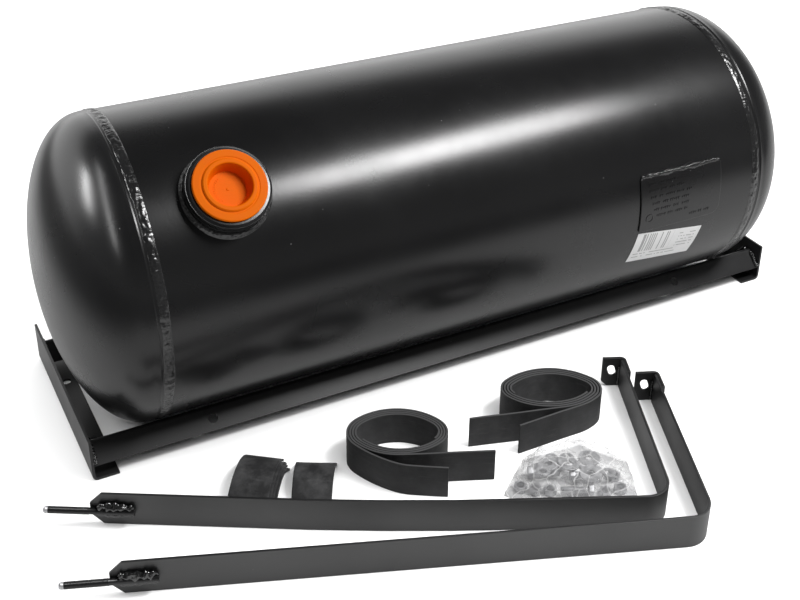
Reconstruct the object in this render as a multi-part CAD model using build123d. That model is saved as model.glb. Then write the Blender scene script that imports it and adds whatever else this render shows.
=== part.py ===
"""Horizontal cylindrical pressure tank lying in a welded angle cradle, with its loose mounting kit.

Frame: +X along the tank, +Z up, -Y towards the kit.  Origin: middle of the cradle's four floor
holes, at floor level.  Millimetres.
"""
from build123d import *
from math import copysign, cos, degrees, radians, sin, sqrt
import os

os.makedirs("parts", exist_ok=True)

# ---------------------------------------------------------------- driving dimensions: tank
tank_diameter = 360.0
tank_wall = 3.5
shell_length = 780.0            # between the two girth seams
head_skirt = 10.0               # straight flange between seam and ellipse
joggle_length = 14.0            # lip of the head inside the shell
girth_bead_width = 12.0
girth_bead_height = 2.0
seam_bead_width = 8.0
seam_bead_height = 1.2
seam_angle = 160.0              # long seam, at the back
floor_to_tank = 6.0
cradle_angle = 54.5             # rail contact, below the horizontal through the tank axis
fit_gap = 0.1                   # head lip in the shell, neck in its hole
lip_root = 0.5                  # weld root between head and lip

# ---------------------------------------------------------------- driving dimensions: neck and plug
neck_from_seam = 91.0           # neck axis to the left girth seam
neck_angle = 46.0               # neck axis above the horizontal, at the front
neck_radius = 46.0
neck_bore_radius = 30.0
neck_height = 19.0              # above the shell
neck_inside = 14.0              # below the shell's outer face
neck_groove_depth = 2.0
neck_groove_heights = (8.55, 15.2)  # above the shell
neck_groove_width = 3.0
neck_weld_leg = 6.0
neck_weld_height = 4.2
neck_screw_radius = 2.5
neck_screw_edge = 0.5           # screw hole inside the plug flange
neck_screw_depth = 12.0
neck_screw_count = 6
plug_flange_margin = 6.0        # neck ring beyond the plug flange
plug_flange_thickness = 3.5
plug_flange_round = 1.05
plug_collar_width = 5.6         # raised ring round the finger recess
plug_collar_height = 1.6
plug_rim = 6.0                  # neck bore to finger recess
plug_recess_depth = 15.0
plug_recess_taper = 4.0
plug_wall = 2.0
plug_spigot_length = 18.0
plug_clearance = 0.3

# ---------------------------------------------------------------- driving dimensions: plate and label
plate_length = 124.0
plate_thickness = 2.5
plate_from_seam = 57.0          # right edge of the plate to the right girth seam
plate_low_angle = -6.3
plate_height = 76.0             # along the shell
plate_corner = 8.0
plate_gap = 0.2
plate_bead_radius = 3.2
plate_bead_lift = 2.24          # bead above the plate's top edge
plate_bead_inset = 2.0          # from each end of the edge
label_length = 104.0
label_height = 47.0
label_thickness = 0.3
label_tilt = -8.0
label_from_seam = 131.0         # middle of the label to the right girth seam
label_below_plate = 2.26        # gap at the nearest corner
label_gap = 0.05

# ---------------------------------------------------------------- driving dimensions: cradle
end_wall_inset = 15.0           # end wall inside the tank's end
frame_sheet = 3.0
end_wall_height = 52.0
end_flange_width = 30.0
end_bend_radius = 6.0           # outside
floor_hole_radius = 5.5
floor_hole_spacing = 126.0
floor_hole_inset = 18.0         # from the end wall's outer face
rail_leg = 30.0
rail_heel_radius = 4.5          # outside
rail_hole_radius = 5.6
rail_hole_inset = 144.0         # from the end wall's outer face
rail_hole_from_heel = 15.9
rail_end_margin = 0.5           # end angle beyond the rail's lower edge
rail_clearance = 0.3            # girth bead to rail heel
frame_bead_radius = 3.2

# ---------------------------------------------------------------- driving dimensions: straps
strap_width = 40.0
strap_thickness = 3.0
strap_long_leg = 612.0
strap_short_leg = 244.0
strap_bend_radius = 28.0        # outside
strap_chamfer = 13.0
strap_bow_radius = 3000.0
strap_bow_start = 0.4           # share of the straight run before the bow
stud_radius = 4.0
stud_shank_radius = 3.6         # unthreaded part on the band
stud_shoulder = 1.0             # from the band's end to the thread
stud_length = 96.0
stud_free_length = 48.0
stud_chamfer = 1.0
stud_bead_radius = 4.5
stud_bead_length = 40.0
stud_bead_start = 8.0           # from the band's end
stud_bead_rise = 1.0            # above the band's face
stud_bead_offset = 4.7          # above and below the rod's axis
eye_thickness = 4.0
eye_overlap = 25.0
eye_tab = 28.0
eye_inner_radius = 3.0
eye_clip = 7.0
eye_slot_width = 9.0
eye_slot_length = 16.0
eye_slot_tilt = 18.0
eye_slot_from_tip = 11.8
eye_slot_height = 22.0
eye_bead_radius = 3.0
eye_bead_height = 16.0          # middle of the bead
eye_bead_length = 28.0
kit_clearance = 0.2             # between pieces that only touch

# ---------------------------------------------------------------- driving dimensions: rubber
rubber_width = 40.0
rubber_thickness = 2.5
roll_1_slack = 0.6              # air between two turns
roll_2_slack = 1.0
pad_thickness = 2.7
pad_width = 44.0
pad_radius = 44.0               # inner radius of the single pad
pad_arc = 96.0
pad_slack = 0.3                 # air between stacked pads
pad_shift = 2.6                 # sideways, from one stacked pad to the next
pad_count = 4

# ---------------------------------------------------------------- driving dimensions: bag
bag_height = 28.0
bag_film = 0.6
bag_top_share = 0.66            # top outline over base outline
bolt_radius = 4.0
bolt_length = 30.0
nut_flats = 13.0
nut_height = 6.5
bolt_head_height = 5.3
washer_radius = 8.0
washer_thickness = 1.6
large_washer_radius = 12.0
large_washer_thickness = 2.0
hole_play = 0.4                 # washer and nut bore over the bolt

# ---------------------------------------------------------------- derived
tank_radius = tank_diameter / 2
axis_height = tank_radius + floor_to_tank
head_depth = tank_diameter / 4  # 2:1 ellipse
seam_x = shell_length / 2
neck_x = -seam_x + neck_from_seam
heel_distance = tank_radius + girth_bead_height + rail_clearance + rail_heel_radius
heel_y = heel_distance * cos(radians(cradle_angle))
heel_z = axis_height - heel_distance * sin(radians(cradle_angle))
rail_corner = (heel_y, heel_z + rail_heel_radius * sqrt(2))
frame_length = 2 * (seam_x + head_skirt + head_depth - end_wall_inset)
rail_hole_spacing = frame_length - 2 * rail_hole_inset
frame_half_width = heel_y + rail_leg / sqrt(2) + rail_end_margin
wall_inner_x = frame_length / 2 - frame_sheet
kit_line = -frame_half_width    # front edge of the cradle; the kit is laid out from here
plug_flange_radius = neck_radius - plug_flange_margin
plug_recess_radius = neck_bore_radius - plug_rim
neck_screw_circle = plug_flange_radius - neck_screw_radius - neck_screw_edge
plate_high_angle = plate_low_angle + degrees(plate_height / tank_radius)
label_half_rise = label_height / 2 + label_length / 2 * sin(radians(abs(label_tilt)))
label_angle = plate_low_angle - degrees((label_half_rise + label_below_plate) / tank_radius)
pad_pitch = pad_thickness + pad_slack
written = []


# ---------------------------------------------------------------- helpers
def save(name, *solids):
    """Writes one node as solids only."""
    flat = []
    for solid in solids:
        flat.extend(solid.solids())
    shape = flat[0] if len(flat) == 1 else Compound(children=flat)
    export_step(shape, f"parts/{name}.step")
    written.append(name)


def along(heading):
    return Vector(cos(radians(heading)), sin(radians(heading)), 0)


def advance(point, heading, move, share=1.0):
    """End of one move: (length, 0) is a straight, (radius, turn) an arc, left turns positive."""
    size, turn = move
    if turn == 0:
        return point + along(heading) * size * share, heading
    side = copysign(1, turn)
    centre = point + along(heading + 90) * side * size
    new_heading = heading + turn * share
    return centre - along(new_heading + 90) * side * size, new_heading


def walk(point, heading, moves):
    for move in moves:
        point, heading = advance(point, heading, move)
    return point, heading


def retrace(point, heading, moves):
    """Start of a path that passes point with this heading after its moves."""
    backwards = [(size, -turn) for size, turn in reversed(moves)]
    start, back = walk(point, heading + 180, backwards)
    return start, back + 180


def ribbon(point, heading, moves, thickness):
    """Face of a strip of even thickness along a path of straights and tangent arcs."""
    left, right = [], []
    first, last = None, None
    for move in moves:
        end, end_heading = advance(point, heading, move)
        middle, middle_heading = advance(point, heading, move, 0.5)
        for edges, offset in ((left, thickness / 2), (right, -thickness / 2)):
            a = point + along(heading + 90) * offset
            b = end + along(end_heading + 90) * offset
            m = middle + along(middle_heading + 90) * offset
            edges.append(Line(a, b) if move[1] == 0 else ThreePointArc(a, m, b))
        first = first or (left[0] @ 0, right[0] @ 0)
        last = (left[-1] @ 1, right[-1] @ 1)
        point, heading = end, end_heading
    return make_face(left + right + [Line(*first), Line(*last)])


def tank_frame(angle):
    """Location on the tank axis whose local -Y points at this angle above the front horizontal."""
    return Pos(0, 0, axis_height) * Rot(X=-angle)


def neck_frame():
    """Location on the tank axis whose local +Z is the neck axis."""
    return Pos(neck_x, 0, axis_height) * Rot(X=90 - neck_angle)


def lying_cylinder(radius, length):
    """Cylinder round the tank axis."""
    return Pos(0, 0, axis_height) * Rot(Y=90) * Cylinder(radius, length)


def shell_patch(x0, x1, r0, r1, low_angle, high_angle):
    """Curved patch concentric with the tank, between two angles above the front horizontal."""
    section = Plane.XY * Pos((x0 + x1) / 2, -(r0 + r1) / 2) * Rectangle(x1 - x0, r1 - r0)
    patch = revolve(section, axis=Axis.X, revolution_arc=high_angle - low_angle)
    return Pos(0, 0, axis_height) * Rot(X=-high_angle) * patch


# ---------------------------------------------------------------- tank
def tank_shell():
    bore = lying_cylinder(tank_radius - tank_wall, shell_length)
    neck_hole = neck_frame() * Pos(0, 0, tank_radius) * Cylinder(neck_radius + fit_gap, tank_radius / 2)
    return lying_cylinder(tank_radius, shell_length) - bore - neck_hole


def dome(radius, depth, foot):
    """Solid half ellipsoid on a straight foot, x measured from the seam outwards."""
    crown = EllipticalCenterArc((head_skirt, 0), depth, radius, start_angle=0, arc_size=90)
    base = Polyline((head_skirt, radius), (foot, radius), (foot, 0), (head_skirt + depth, 0))
    return revolve(make_face([crown, *base.edges()]), axis=Axis.X)


def head(side):
    """Dished head, open towards the shell, with its joggled lip inside the shell."""
    inner = tank_radius - tank_wall
    lip_outer = inner - fit_gap
    lip_inner = lip_outer - tank_wall
    solid = dome(tank_radius, head_depth, 0) - dome(inner, head_depth - tank_wall, -1)
    ring = Rot(Y=90) * (Cylinder(lip_outer, joggle_length) - Cylinder(lip_inner, joggle_length))
    root = Rot(Y=90) * (Cylinder(inner + lip_root, head_skirt) - Cylinder(lip_inner, head_skirt))
    solid += Pos(head_skirt / 2, 0, 0) * root
    solid += Pos(-joggle_length / 2, 0, 0) * ring
    placed = Pos(seam_x, 0, axis_height) * solid
    return placed if side > 0 else mirror(placed, about=Plane.YZ)


def girth_weld(side):
    """Bead round the seam, a low arc in section."""
    half = girth_bead_width / 2
    crown = ThreePointArc((-half, tank_radius), (0, tank_radius + girth_bead_height), (half, tank_radius))
    section = make_face([crown, Line((-half, tank_radius), (half, tank_radius))])
    return Pos(side * seam_x, 0, axis_height) * revolve(section, axis=Axis.X)


def seam_weld():
    length = shell_length - girth_bead_width
    half = degrees(seam_bead_width / 2 / tank_radius)
    return shell_patch(-length / 2, length / 2, tank_radius, tank_radius + seam_bead_height,
                       seam_angle - half, seam_angle + half)


def neck_ring():
    top = tank_radius + neck_height
    height = neck_height + neck_inside
    tube = Cylinder(neck_radius, height) - Cylinder(neck_bore_radius, height)
    ring = Pos(0, 0, top - height / 2) * tube
    groove_foot = Cylinder(neck_radius - neck_groove_depth, neck_groove_width)
    groove = Cylinder(2 * neck_radius, neck_groove_width) - groove_foot
    for groove_height in neck_groove_heights:
        ring -= Pos(0, 0, tank_radius + groove_height) * groove
    hole = Cylinder(neck_screw_radius, neck_screw_depth)
    hole = Pos(neck_screw_circle, 0, top - neck_screw_depth / 2) * hole
    for turn in range(neck_screw_count):
        ring -= Rot(Z=turn * 360 / neck_screw_count) * hole
    return neck_frame() * ring


def neck_weld():
    """Fillet round the foot of the neck, following the shell."""
    tube = Cylinder(neck_radius + neck_weld_leg, tank_radius) - Cylinder(neck_radius, tank_radius)
    skin = lying_cylinder(tank_radius + neck_weld_height, shell_length)
    skin -= lying_cylinder(tank_radius, shell_length)
    return skin & (neck_frame() * Pos(0, 0, tank_radius) * tube)


def transport_plug():
    top = tank_radius + neck_height
    spigot = neck_bore_radius - plug_clearance
    collar = plug_recess_radius + plug_collar_width
    body = Cylinder(plug_flange_radius, plug_flange_thickness)
    body = Pos(0, 0, plug_clearance + plug_flange_thickness / 2) * fillet(body.edges(), plug_flange_round)
    face = plug_clearance + plug_flange_thickness
    body += Pos(0, 0, face + plug_collar_height / 2) * Cylinder(collar, plug_collar_height)
    body += Pos(0, 0, plug_clearance - plug_spigot_length / 2) * Cylinder(spigot, plug_spigot_length)
    mouth = face + plug_collar_height
    recess = Cone(plug_recess_radius - plug_recess_taper, plug_recess_radius, plug_recess_depth)
    body -= Pos(0, 0, mouth - plug_recess_depth / 2) * recess
    hollow = Cylinder(spigot - plug_wall, plug_spigot_length)
    hollow -= Cylinder(plug_recess_radius + plug_wall, plug_spigot_length)
    body -= Pos(0, 0, -plug_spigot_length / 2) * hollow
    return neck_frame() * Pos(0, 0, top) * body


def data_plate():
    right = seam_x - plate_from_seam
    left = right - plate_length
    inner = tank_radius + plate_gap
    outer = inner + plate_thickness
    plate = shell_patch(left, right, inner, outer, plate_low_angle, plate_high_angle)
    side = plate_corner * sqrt(2)
    corner = Pos(right, -tank_radius, 0) * Rot(Y=45) * Box(side, tank_radius, side)
    return plate - tank_frame(plate_low_angle) * corner


def plate_weld():
    """Bead along the plate's top edge."""
    right = seam_x - plate_from_seam
    rod = Rot(Y=90) * Cylinder(plate_bead_radius, plate_length - 2 * plate_bead_inset)
    lift = degrees(plate_bead_lift / tank_radius)
    bead = tank_frame(plate_high_angle + lift) * Pos(right - plate_length / 2, -tank_radius, 0) * rod
    return bead - lying_cylinder(tank_radius, shell_length) - data_plate()


def label():
    skin_inner = tank_radius + label_gap
    skin = lying_cylinder(skin_inner + label_thickness, shell_length)
    skin -= lying_cylinder(skin_inner, shell_length)
    cutter = Rot(Y=-label_tilt) * Box(label_length, tank_radius, label_height)
    return skin & (tank_frame(label_angle) * Pos(seam_x - label_from_seam, -tank_radius, 0) * cutter)


# ---------------------------------------------------------------- cradle
def end_angle(side):
    """Bent sheet: flange on the floor pointing inwards, wall upright at the outer end."""
    middle = end_bend_radius - frame_sheet / 2
    start = Vector(frame_length / 2 - end_flange_width, frame_sheet / 2)
    moves = [(end_flange_width - end_bend_radius, 0), (middle, 90), (end_wall_height - end_bend_radius, 0)]
    section = ribbon(start, 0, moves, frame_sheet)
    solid = extrude(Plane.XZ.offset(-frame_half_width) * section, 2 * frame_half_width)
    for y in (-floor_hole_spacing / 2, floor_hole_spacing / 2):
        hole = Cylinder(floor_hole_radius, 3 * frame_sheet)
        solid -= Pos(frame_length / 2 - floor_hole_inset, y, frame_sheet / 2) * hole
    return solid if side > 0 else mirror(solid, about=Plane.YZ)


def rail(side):
    """Angle with its heel up: one leg slopes outwards, the other inwards."""
    middle = rail_heel_radius - frame_sheet / 2
    corner = Vector(-rail_corner[0], rail_corner[1])
    start = corner - along(45) * rail_leg + along(-45) * frame_sheet / 2
    straight = rail_leg - rail_heel_radius
    section = ribbon(start, 45, [(straight, 0), (middle, -90), (straight, 0)], frame_sheet)
    solid = extrude(Plane.YZ.offset(-wall_inner_x) * section, 2 * wall_inner_x)
    hole_centre = corner - along(45) * rail_hole_from_heel
    for x in (-rail_hole_spacing / 2, rail_hole_spacing / 2):
        hole = Rot(X=45) * Cylinder(rail_hole_radius, 4 * frame_sheet)
        solid -= Pos(x, hole_centre.X, hole_centre.Y) * hole
    return solid if side < 0 else mirror(solid, about=Plane.XZ)


def frame_welds(rail_front):
    """Fillets where the front rail's legs meet the left end wall, copied to the other three ends."""
    beads = []
    corner = Vector(-rail_corner[0], rail_corner[1])
    outside = {225: 135, -45: 45}
    for leg, normal in outside.items():
        centre = corner + along(leg) * (rail_leg + rail_heel_radius) / 2
        length = rail_leg - rail_heel_radius - 2
        bead = Rot(X=leg) * Rot(X=-90) * Cylinder(frame_bead_radius, length)
        bead = Pos(-wall_inner_x, centre.X, centre.Y) * bead
        outer = Box(frame_length, 2 * frame_length, frame_length)
        shift = along(normal) * frame_bead_radius
        inside = Pos(-wall_inner_x, centre.X - shift.X, centre.Y - shift.Y) * Rot(X=leg)
        bead -= Pos(-wall_inner_x - frame_length / 2, 0, 0) * outer
        bead -= inside * Box(3 * frame_bead_radius, 2 * length, 2 * frame_bead_radius)
        beads.append(bead - rail_front)
    far = [mirror(bead, about=Plane.YZ) for bead in beads]
    back = [mirror(bead, about=Plane.XZ) for bead in beads + far]
    return beads + far + back


# ---------------------------------------------------------------- straps
def strap_path(corner, long_heading, turn, bow):
    """Start, heading and moves of a band's centre line, from its eye end to its stud end."""
    short_heading = long_heading + turn
    inside = strap_thickness / 2
    half_turn = radians(turn / 2)
    setback = strap_bend_radius * sin(half_turn) / cos(half_turn)
    middle = strap_bend_radius - inside
    start = corner + along(short_heading) * strap_short_leg + along(short_heading + 90) * inside
    rest = strap_long_leg - setback - strap_bow_radius * radians(bow)
    moves = [(strap_short_leg - setback, 0), (middle, -turn)]
    if bow == 0:
        moves += [(rest, 0)]
    else:
        first_run = rest * strap_bow_start
        moves += [(first_run, 0), (strap_bow_radius, -bow), (rest - first_run, 0)]
    return start, short_heading + 180, moves


def strap_band(start, heading, moves):
    band = extrude(ribbon(start, heading, moves, strap_thickness), strap_width)
    end, end_heading = walk(start, heading, moves)
    side = strap_chamfer * sqrt(2)
    cutter = Rot(X=45) * Box(4 * strap_thickness, side, side)
    for z in (0, strap_width):
        band -= Pos(end.X, end.Y, z) * Rot(Z=end_heading + 90) * cutter
    return band


def strap_stud(start, heading, moves):
    """Rod on the outer face of the band's end: thread on its free length, thinner shank on the band."""
    end, end_heading = walk(start, heading, moves)
    seat = end + along(end_heading + 90) * (strap_thickness / 2 + stud_radius)
    thread_length = stud_free_length - stud_shoulder
    thread = Pos(stud_shoulder + thread_length / 2, 0, 0) * Rot(Y=90) * Cylinder(stud_radius, thread_length)
    tip = thread.edges().filter_by(GeomType.CIRCLE).sort_by(Axis.X)[-1]
    shank_length = stud_length - thread_length
    shank = Rot(Y=90) * Cylinder(stud_shank_radius, shank_length)
    rod = chamfer(tip, stud_chamfer) + Pos(stud_shoulder - shank_length / 2, 0, 0) * shank
    return Pos(seat.X, seat.Y, strap_width / 2) * Rot(Z=end_heading) * rod


def stud_weld(start, heading, moves, band, stud):
    """One bead above and one below the stud."""
    end, end_heading = walk(start, heading, moves)
    centre = end - along(end_heading) * (stud_bead_start + stud_bead_length / 2)
    centre += along(end_heading + 90) * (strap_thickness / 2 + stud_bead_rise)
    beads = []
    for side in (-1, 1):
        bead = Rot(Y=90) * Cylinder(stud_bead_radius, stud_bead_length)
        height = strap_width / 2 + side * stud_bead_offset
        beads.append(Pos(centre.X, centre.Y, height) * Rot(Z=end_heading) * bead - band - stud)
    behind = Pos(0, -strap_width / 2 - stud_bead_rise, 0) * Box(stud_length, strap_width, 4 * strap_width)
    behind = Pos(centre.X, centre.Y, 0) * Rot(Z=end_heading) * behind
    return [bead - behind for bead in beads]


def strap_eye(start, heading):
    """Bracket lapped on the band's outer face and turned across its end, with an oblong hole."""
    middle = eye_inner_radius + eye_thickness / 2
    out = heading + 180                              # from the bend towards the eye end
    lap = start - along(out) * eye_overlap - along(out + 90) * (strap_thickness + eye_thickness) / 2
    reach = strap_thickness + kit_clearance
    moves = [(eye_overlap + kit_clearance - eye_inner_radius + reach, 0), (middle, 90)]
    tab_run = eye_tab - eye_inner_radius - eye_thickness
    solid = extrude(ribbon(lap, out, moves + [(tab_run, 0)], eye_thickness), strap_width)
    tip, tip_heading = walk(lap, out, moves + [(tab_run, 0)])
    clip = Rot(Y=45) * Box(eye_clip * sqrt(2), 4 * eye_thickness, eye_clip * sqrt(2))
    solid -= Pos(tip.X, tip.Y, 0) * Rot(Z=tip_heading) * clip
    hole = tip - along(tip_heading) * eye_slot_from_tip
    outline = SlotOverall(eye_slot_length, eye_slot_width, rotation=90 - eye_slot_tilt)
    slot = extrude(Plane.XZ * outline, 4 * eye_thickness, both=True)
    return solid - Pos(hole.X, hole.Y, eye_slot_height) * Rot(Z=tip_heading) * slot


def eye_weld(start, heading, band, eye):
    """Upright bead in the inner corner of band and tab."""
    out = heading + 180
    reach = strap_thickness + 2 * kit_clearance
    centre = start + along(out) * reach + along(out + 90) * strap_thickness / 2
    bead = Pos(centre.X, centre.Y, eye_bead_height) * Cylinder(eye_bead_radius, eye_bead_length)
    return bead - band - eye


def strap(number, corner, long_heading, turn, bow):
    start, heading, moves = strap_path(corner, long_heading, turn, bow)
    band = strap_band(start, heading, moves)
    stud = strap_stud(start, heading, moves)
    eye = strap_eye(start, heading)
    save(f"strap_band_{number}", band)
    save(f"strap_stud_{number}", stud)
    save(f"stud_weld_{number}", *stud_weld(start, heading, moves, band, stud))
    save(f"strap_eye_{number}", eye)
    save(f"eye_weld_{number}", eye_weld(start, heading, band, eye))


# ---------------------------------------------------------------- rubber
def wound_strip(half_length, half_width, inset, pitch, quarters, tail):
    """Strip wound into an oval roll of quarter arcs round the origin, with a loose tail."""
    end_radius = (half_width - (sqrt(2) - 1) * half_length) / (2 - sqrt(2))
    side_radius = half_length + half_width - end_radius
    leave = Vector(-(half_length - end_radius), 0) + along(225) * (end_radius - inset)
    radii = [end_radius, side_radius]
    wound = [(radii[k % 2] - inset - k * pitch / 2, -90) for k in range(quarters)]
    start, heading = retrace(leave, 135, tail)
    face = ribbon(start, heading, tail + wound, rubber_thickness)
    return extrude(face, rubber_width)


def rubber_roll(numbers, centre, turn, size, slack, tails, side):
    """Two strips wound together, the second inside the first; side -1 winds them the other way."""
    pitch = rubber_thickness + slack
    half_length = size[0] / 2 - rubber_thickness / 2
    half_width = size[1] / 2 - rubber_thickness / 2
    for layer, (number, tail) in enumerate(zip(numbers, tails)):
        strip = wound_strip(half_length, half_width, layer * pitch, pitch, 8 - layer, tail)
        if side < 0:
            strip = mirror(strip, about=Plane.YZ)
        save(f"rubber_strip_{number}", Pos(centre.X, centre.Y, 0) * Rot(Z=turn) * strip)


def rubber_pad(centre, turn, inner_radius, slide, shift):
    """Short curved piece, arched over the floor, slid round the arch and shifted along it."""
    radius = inner_radius + pad_thickness / 2
    half = pad_arc / 2
    start = Vector(-radius * sin(radians(half)), radius * cos(radians(half)))
    section = ribbon(start, half, [(radius, -pad_arc)], pad_thickness)
    pad = extrude(Plane.YZ.offset(-pad_width / 2) * section, pad_width)
    lowest = pad_radius * cos(radians(half))
    return Pos(centre.X, centre.Y, -lowest) * Rot(Z=turn) * Pos(shift, 0, 0) * Rot(X=slide) * pad


# ---------------------------------------------------------------- bag and fasteners
def bag(outline, top_share):
    """Closed film envelope over the fasteners, flat at the bottom."""
    middle = sum(outline, Vector()) / len(outline)
    top = [middle + (corner - middle) * top_share for corner in outline]

    def envelope(inset):
        layers = []
        for points, z in ((outline, inset), (top, bag_height - inset)):
            shrunk = [corner - (corner - middle).normalized() * inset * 2 for corner in points]
            layers.append(Pos(0, 0, z) * make_face(Polyline(*shrunk, close=True)))
        return loft(layers)

    return envelope(0) - envelope(bag_film)


def hex_bolt():
    shank = Pos(0, 0, -bolt_length / 2) * Cylinder(bolt_radius, bolt_length)
    head_part = extrude(RegularPolygon(nut_flats / sqrt(3), 6), bolt_head_height)
    return shank + head_part


def hex_nut():
    blank = extrude(RegularPolygon(nut_flats / sqrt(3), 6), nut_height)
    return blank - Cylinder(bolt_radius + hole_play, 4 * nut_height)


def washer(radius, thickness):
    return extrude(Circle(radius) - Circle(bolt_radius + hole_play), thickness)


def scattered(piece, places):
    """Copies at (u, v, z, tilt, spin), u along the bag from its middle."""
    copies = []
    for u, v, z, tilt, spin in places:
        place = Pos(bag_middle.X, bag_middle.Y, bag_film) * Rot(Z=bag_turn) * Pos(u, v, z)
        copies.append(place * Rot(Z=spin) * Rot(Y=tilt) * piece)
    return copies


# ---------------------------------------------------------------- build: tank
save("tank_shell", tank_shell())
save("head_left", head(-1))
save("head_right", head(1))
save("girth_weld_left", girth_weld(-1))
save("girth_weld_right", girth_weld(1))
save("seam_weld", seam_weld())
save("neck_ring", neck_ring())
save("neck_weld", neck_weld())
save("transport_plug", transport_plug())
save("data_plate", data_plate())
save("plate_weld", plate_weld())
save("label", label())

# ---------------------------------------------------------------- build: cradle
front = rail(-1)
save("end_angle_left", end_angle(-1))
save("end_angle_right", end_angle(1))
save("rail_front", front)
save("rail_rear", rail(1))
save("frame_welds", *frame_welds(front))

# ---------------------------------------------------------------- build: kit, in front of the cradle
strap(1, Vector(50.6, kit_line - 344), -24.6, 91.0, 5.0)
strap(2, Vector(70.5, kit_line - 387), -20.6, 87.5, 0.0)

roll_1_tails = [[(40, 0), (60, -20), (150, -20)], [(102, 0), (66, -49)]]
rubber_roll((1, 2), Vector(-158.6, kit_line - 119.5), -27, (118, 86), roll_1_slack, roll_1_tails, 1)
roll_2_tails = [[(81, 0), (75.6, -22)], [(110, 0), (72, -38)]]
rubber_roll((3, 4), Vector(37, kit_line - 128), -23, (123, 83), roll_2_slack, roll_2_tails, -1)

stack_centre = Vector(-318, kit_line - 90)
for index in range(pad_count):
    slide = (0, 2, -4, 3)[index % 4]
    shift = (pad_count - 1 - index) * pad_shift
    pad = rubber_pad(stack_centre, -37, pad_radius + index * pad_pitch, slide, shift)
    save(f"rubber_pad_{index + 1}", pad)
save(f"rubber_pad_{pad_count + 1}", rubber_pad(Vector(-260, kit_line - 115), -29, pad_radius, 0, 0))

bag_middle = Vector(-9, kit_line - 236)
bag_turn = -27
bag_corners = ((-76, 12), (-24, 54), (50, 46), (80, -6), (55, -58), (-48, -34))
save("bag_film", bag([bag_middle + Vector(x, y) for x, y in bag_corners], bag_top_share))
lying = nut_flats / sqrt(3) + kit_clearance
second = 2 * lying + 1           # on top of the lying bolts

# along the bag, across it, height, tilt, spin
flat = kit_clearance
bolt_places = [(20, -23, lying, 90, 0), (-38, 4, lying, 90, 180), (8, 0, lying, 90, 180),
               (-8, 21, lying, 90, 10)]
nut_places = [(-53, -14, flat, 0, 10), (-37, -18, flat, 0, 25), (-21, -19, flat, 0, 40),
              (39, -22, flat, 0, 5), (56, -16, flat, 0, 30), (52, 5, flat, 0, 12)]
washer_places = [(14, 19, flat, 0, 0), (34, 16, flat, 0, 0), (5, 38, flat, 0, 0),
                 (-13, 37, flat, 0, 0), (-28, -5, second + 1, 6, 40), (46, 3, nut_height + 2, 6, 60)]
large_washer_places = [(30, 38, flat, 0, 0), (24, -9, second + 0.6, 12, 250),
                       (-20, 11, lying + bolt_radius + 2, 6, 120), (2, 9, second - 0.4, 6, 20)]
small_ring = washer(washer_radius, washer_thickness)
large_ring = washer(large_washer_radius, large_washer_thickness)
save("hex_bolts", *scattered(hex_bolt(), bolt_places))
save("hex_nuts", *scattered(hex_nut(), nut_places))
save("washers", *scattered(small_ring, washer_places))
save("large_washers", *scattered(large_ring, large_washer_places))
print(len(written), "nodes")
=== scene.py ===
"""Finished look of a cylindrical gas tank in its cradle, with the loose kit that straps it down.
"""
from math import asin, atan2, cos, pi, radians, sin, sqrt, tau

import bmesh
import bpy
import numpy as np
from bpy.props import FloatProperty, FloatVectorProperty, IntProperty, PointerProperty
from mathutils import Matrix, Vector, noise


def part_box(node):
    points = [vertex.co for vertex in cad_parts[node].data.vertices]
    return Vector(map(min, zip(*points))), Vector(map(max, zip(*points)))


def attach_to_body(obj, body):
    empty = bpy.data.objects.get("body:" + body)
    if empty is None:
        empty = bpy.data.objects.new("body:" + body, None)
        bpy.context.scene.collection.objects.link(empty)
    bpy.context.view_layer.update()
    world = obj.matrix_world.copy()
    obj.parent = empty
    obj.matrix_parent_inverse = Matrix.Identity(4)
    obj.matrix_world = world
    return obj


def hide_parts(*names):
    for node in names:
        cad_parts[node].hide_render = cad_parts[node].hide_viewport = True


bl_info = {
    "name": "Gas Tank with Cradle and Strap Kit",
    "version": (1, 0, 0),
    "blender": (4, 5, 0),
    "location": "View3D > Sidebar > Gas Tank",
    "description": "Builds the finished look of a gas tank, its cradle and its mounting kit",
    "category": "Object",
}

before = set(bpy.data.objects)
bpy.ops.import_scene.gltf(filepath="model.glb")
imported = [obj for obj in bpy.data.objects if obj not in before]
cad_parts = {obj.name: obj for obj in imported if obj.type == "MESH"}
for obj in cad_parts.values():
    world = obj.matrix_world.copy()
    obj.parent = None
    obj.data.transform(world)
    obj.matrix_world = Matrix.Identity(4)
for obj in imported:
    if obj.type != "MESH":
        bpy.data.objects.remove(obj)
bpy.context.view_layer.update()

MM = 0.001
SHELL_LOW, SHELL_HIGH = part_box("tank_shell")
TANK_RADIUS = (SHELL_HIGH.z - SHELL_LOW.z) / 2
AXIS_HEIGHT = (SHELL_HIGH.z + SHELL_LOW.z) / 2
SEAM = SHELL_HIGH.x
HEAD_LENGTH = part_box("head_right")[1].x - SEAM
RING_LOW, RING_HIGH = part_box("neck_ring")
NECK_X = (RING_LOW.x + RING_HIGH.x) / 2
NECK_RADIUS = (RING_HIGH.x - RING_LOW.x) / 2
PLATE_LOW, PLATE_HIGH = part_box("data_plate")
STRAP_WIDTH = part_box("strap_band_1")[1].z
SKIRT = 10 * MM                 # straight part of a head, before its crown
ROUND_STEPS = 176               # flats round the shell and the heads
SCREW_CIRCLE = 37 * MM          # radius of the ring of screw holes in the neck
SCREW_HOLE = 2.5 * MM
THREAD_RADIUS = 4 * MM          # studs and bolts
NO_GAP = 1e-6                   # vertices nearer than this are one
NOISE_SEED = 11                 # of the vector noise, which would follow the clock otherwise


# ------------------------------------------------------------------------------- sizes and colours
def length(name, description, default):
    return FloatProperty(name=name, description=description, default=default, min=0.0, max=1.0,
                         subtype="DISTANCE", unit="LENGTH", precision=4)


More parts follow.
